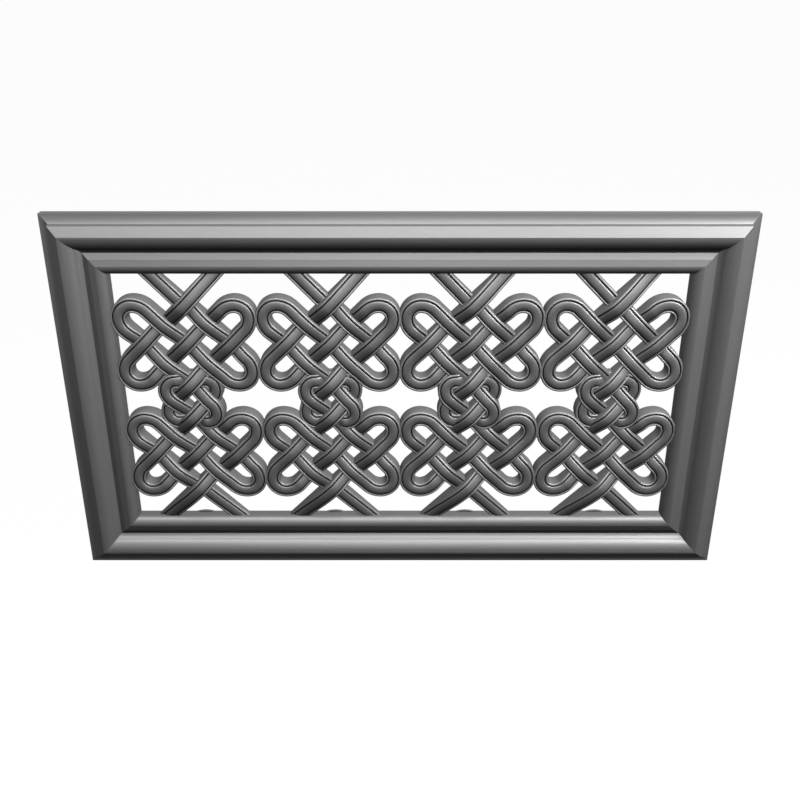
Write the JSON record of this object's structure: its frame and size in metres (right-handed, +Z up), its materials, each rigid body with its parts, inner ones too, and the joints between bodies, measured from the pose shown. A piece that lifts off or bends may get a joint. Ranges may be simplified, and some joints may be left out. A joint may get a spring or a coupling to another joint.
{
  "type": "carved decorative panel",
  "caption": "Rectangular pierced panel: interlaced carved knot columns in a mitred moulded frame, flat back with threaded sleeves.",
  "frame": {"origin": "middle of the flat back, midway between the ends, the top and the bottom", "axes": "+X along the panel's width to the right seen from the front, +Z up, the carved front faces -Y and the flat back +Y"},
  "size_m": [1.4, 0.05, 0.8],
  "materials": {
    "outer_moulding": "smooth satin neutral grey lacquer",
    "slip": "smooth satin neutral grey lacquer",
    "tongue": "bare planed hardwood, hidden",
    "carving": "smooth satin neutral grey lacquer",
    "dowel": "bare beech, hidden",
    "sleeve": "turned"
  },
  "bodies": {
    "root": {"top_rail": "outer_moulding", "bottom_rail": "outer_moulding", "left_stile": "outer_moulding", "right_stile": "outer_moulding", "top_slip": "slip", "bottom_slip": "slip", "left_slip": "slip", "right_slip": "slip", "mitre_key_top_left": "tongue", "mitre_key_top_right": "tongue", "mitre_key_bottom_left": "tongue", "mitre_key_bottom_right": "tongue", "knot_column_1": "carving", "knot_column_2": "carving", "knot_column_3": "carving", "knot_column_4": "carving", "column_dowels": "dowel", "stile_dowels": "dowel", "rail_dowels": "dowel", "back_sleeves": "sleeve"}
  },
  "joints": []
}
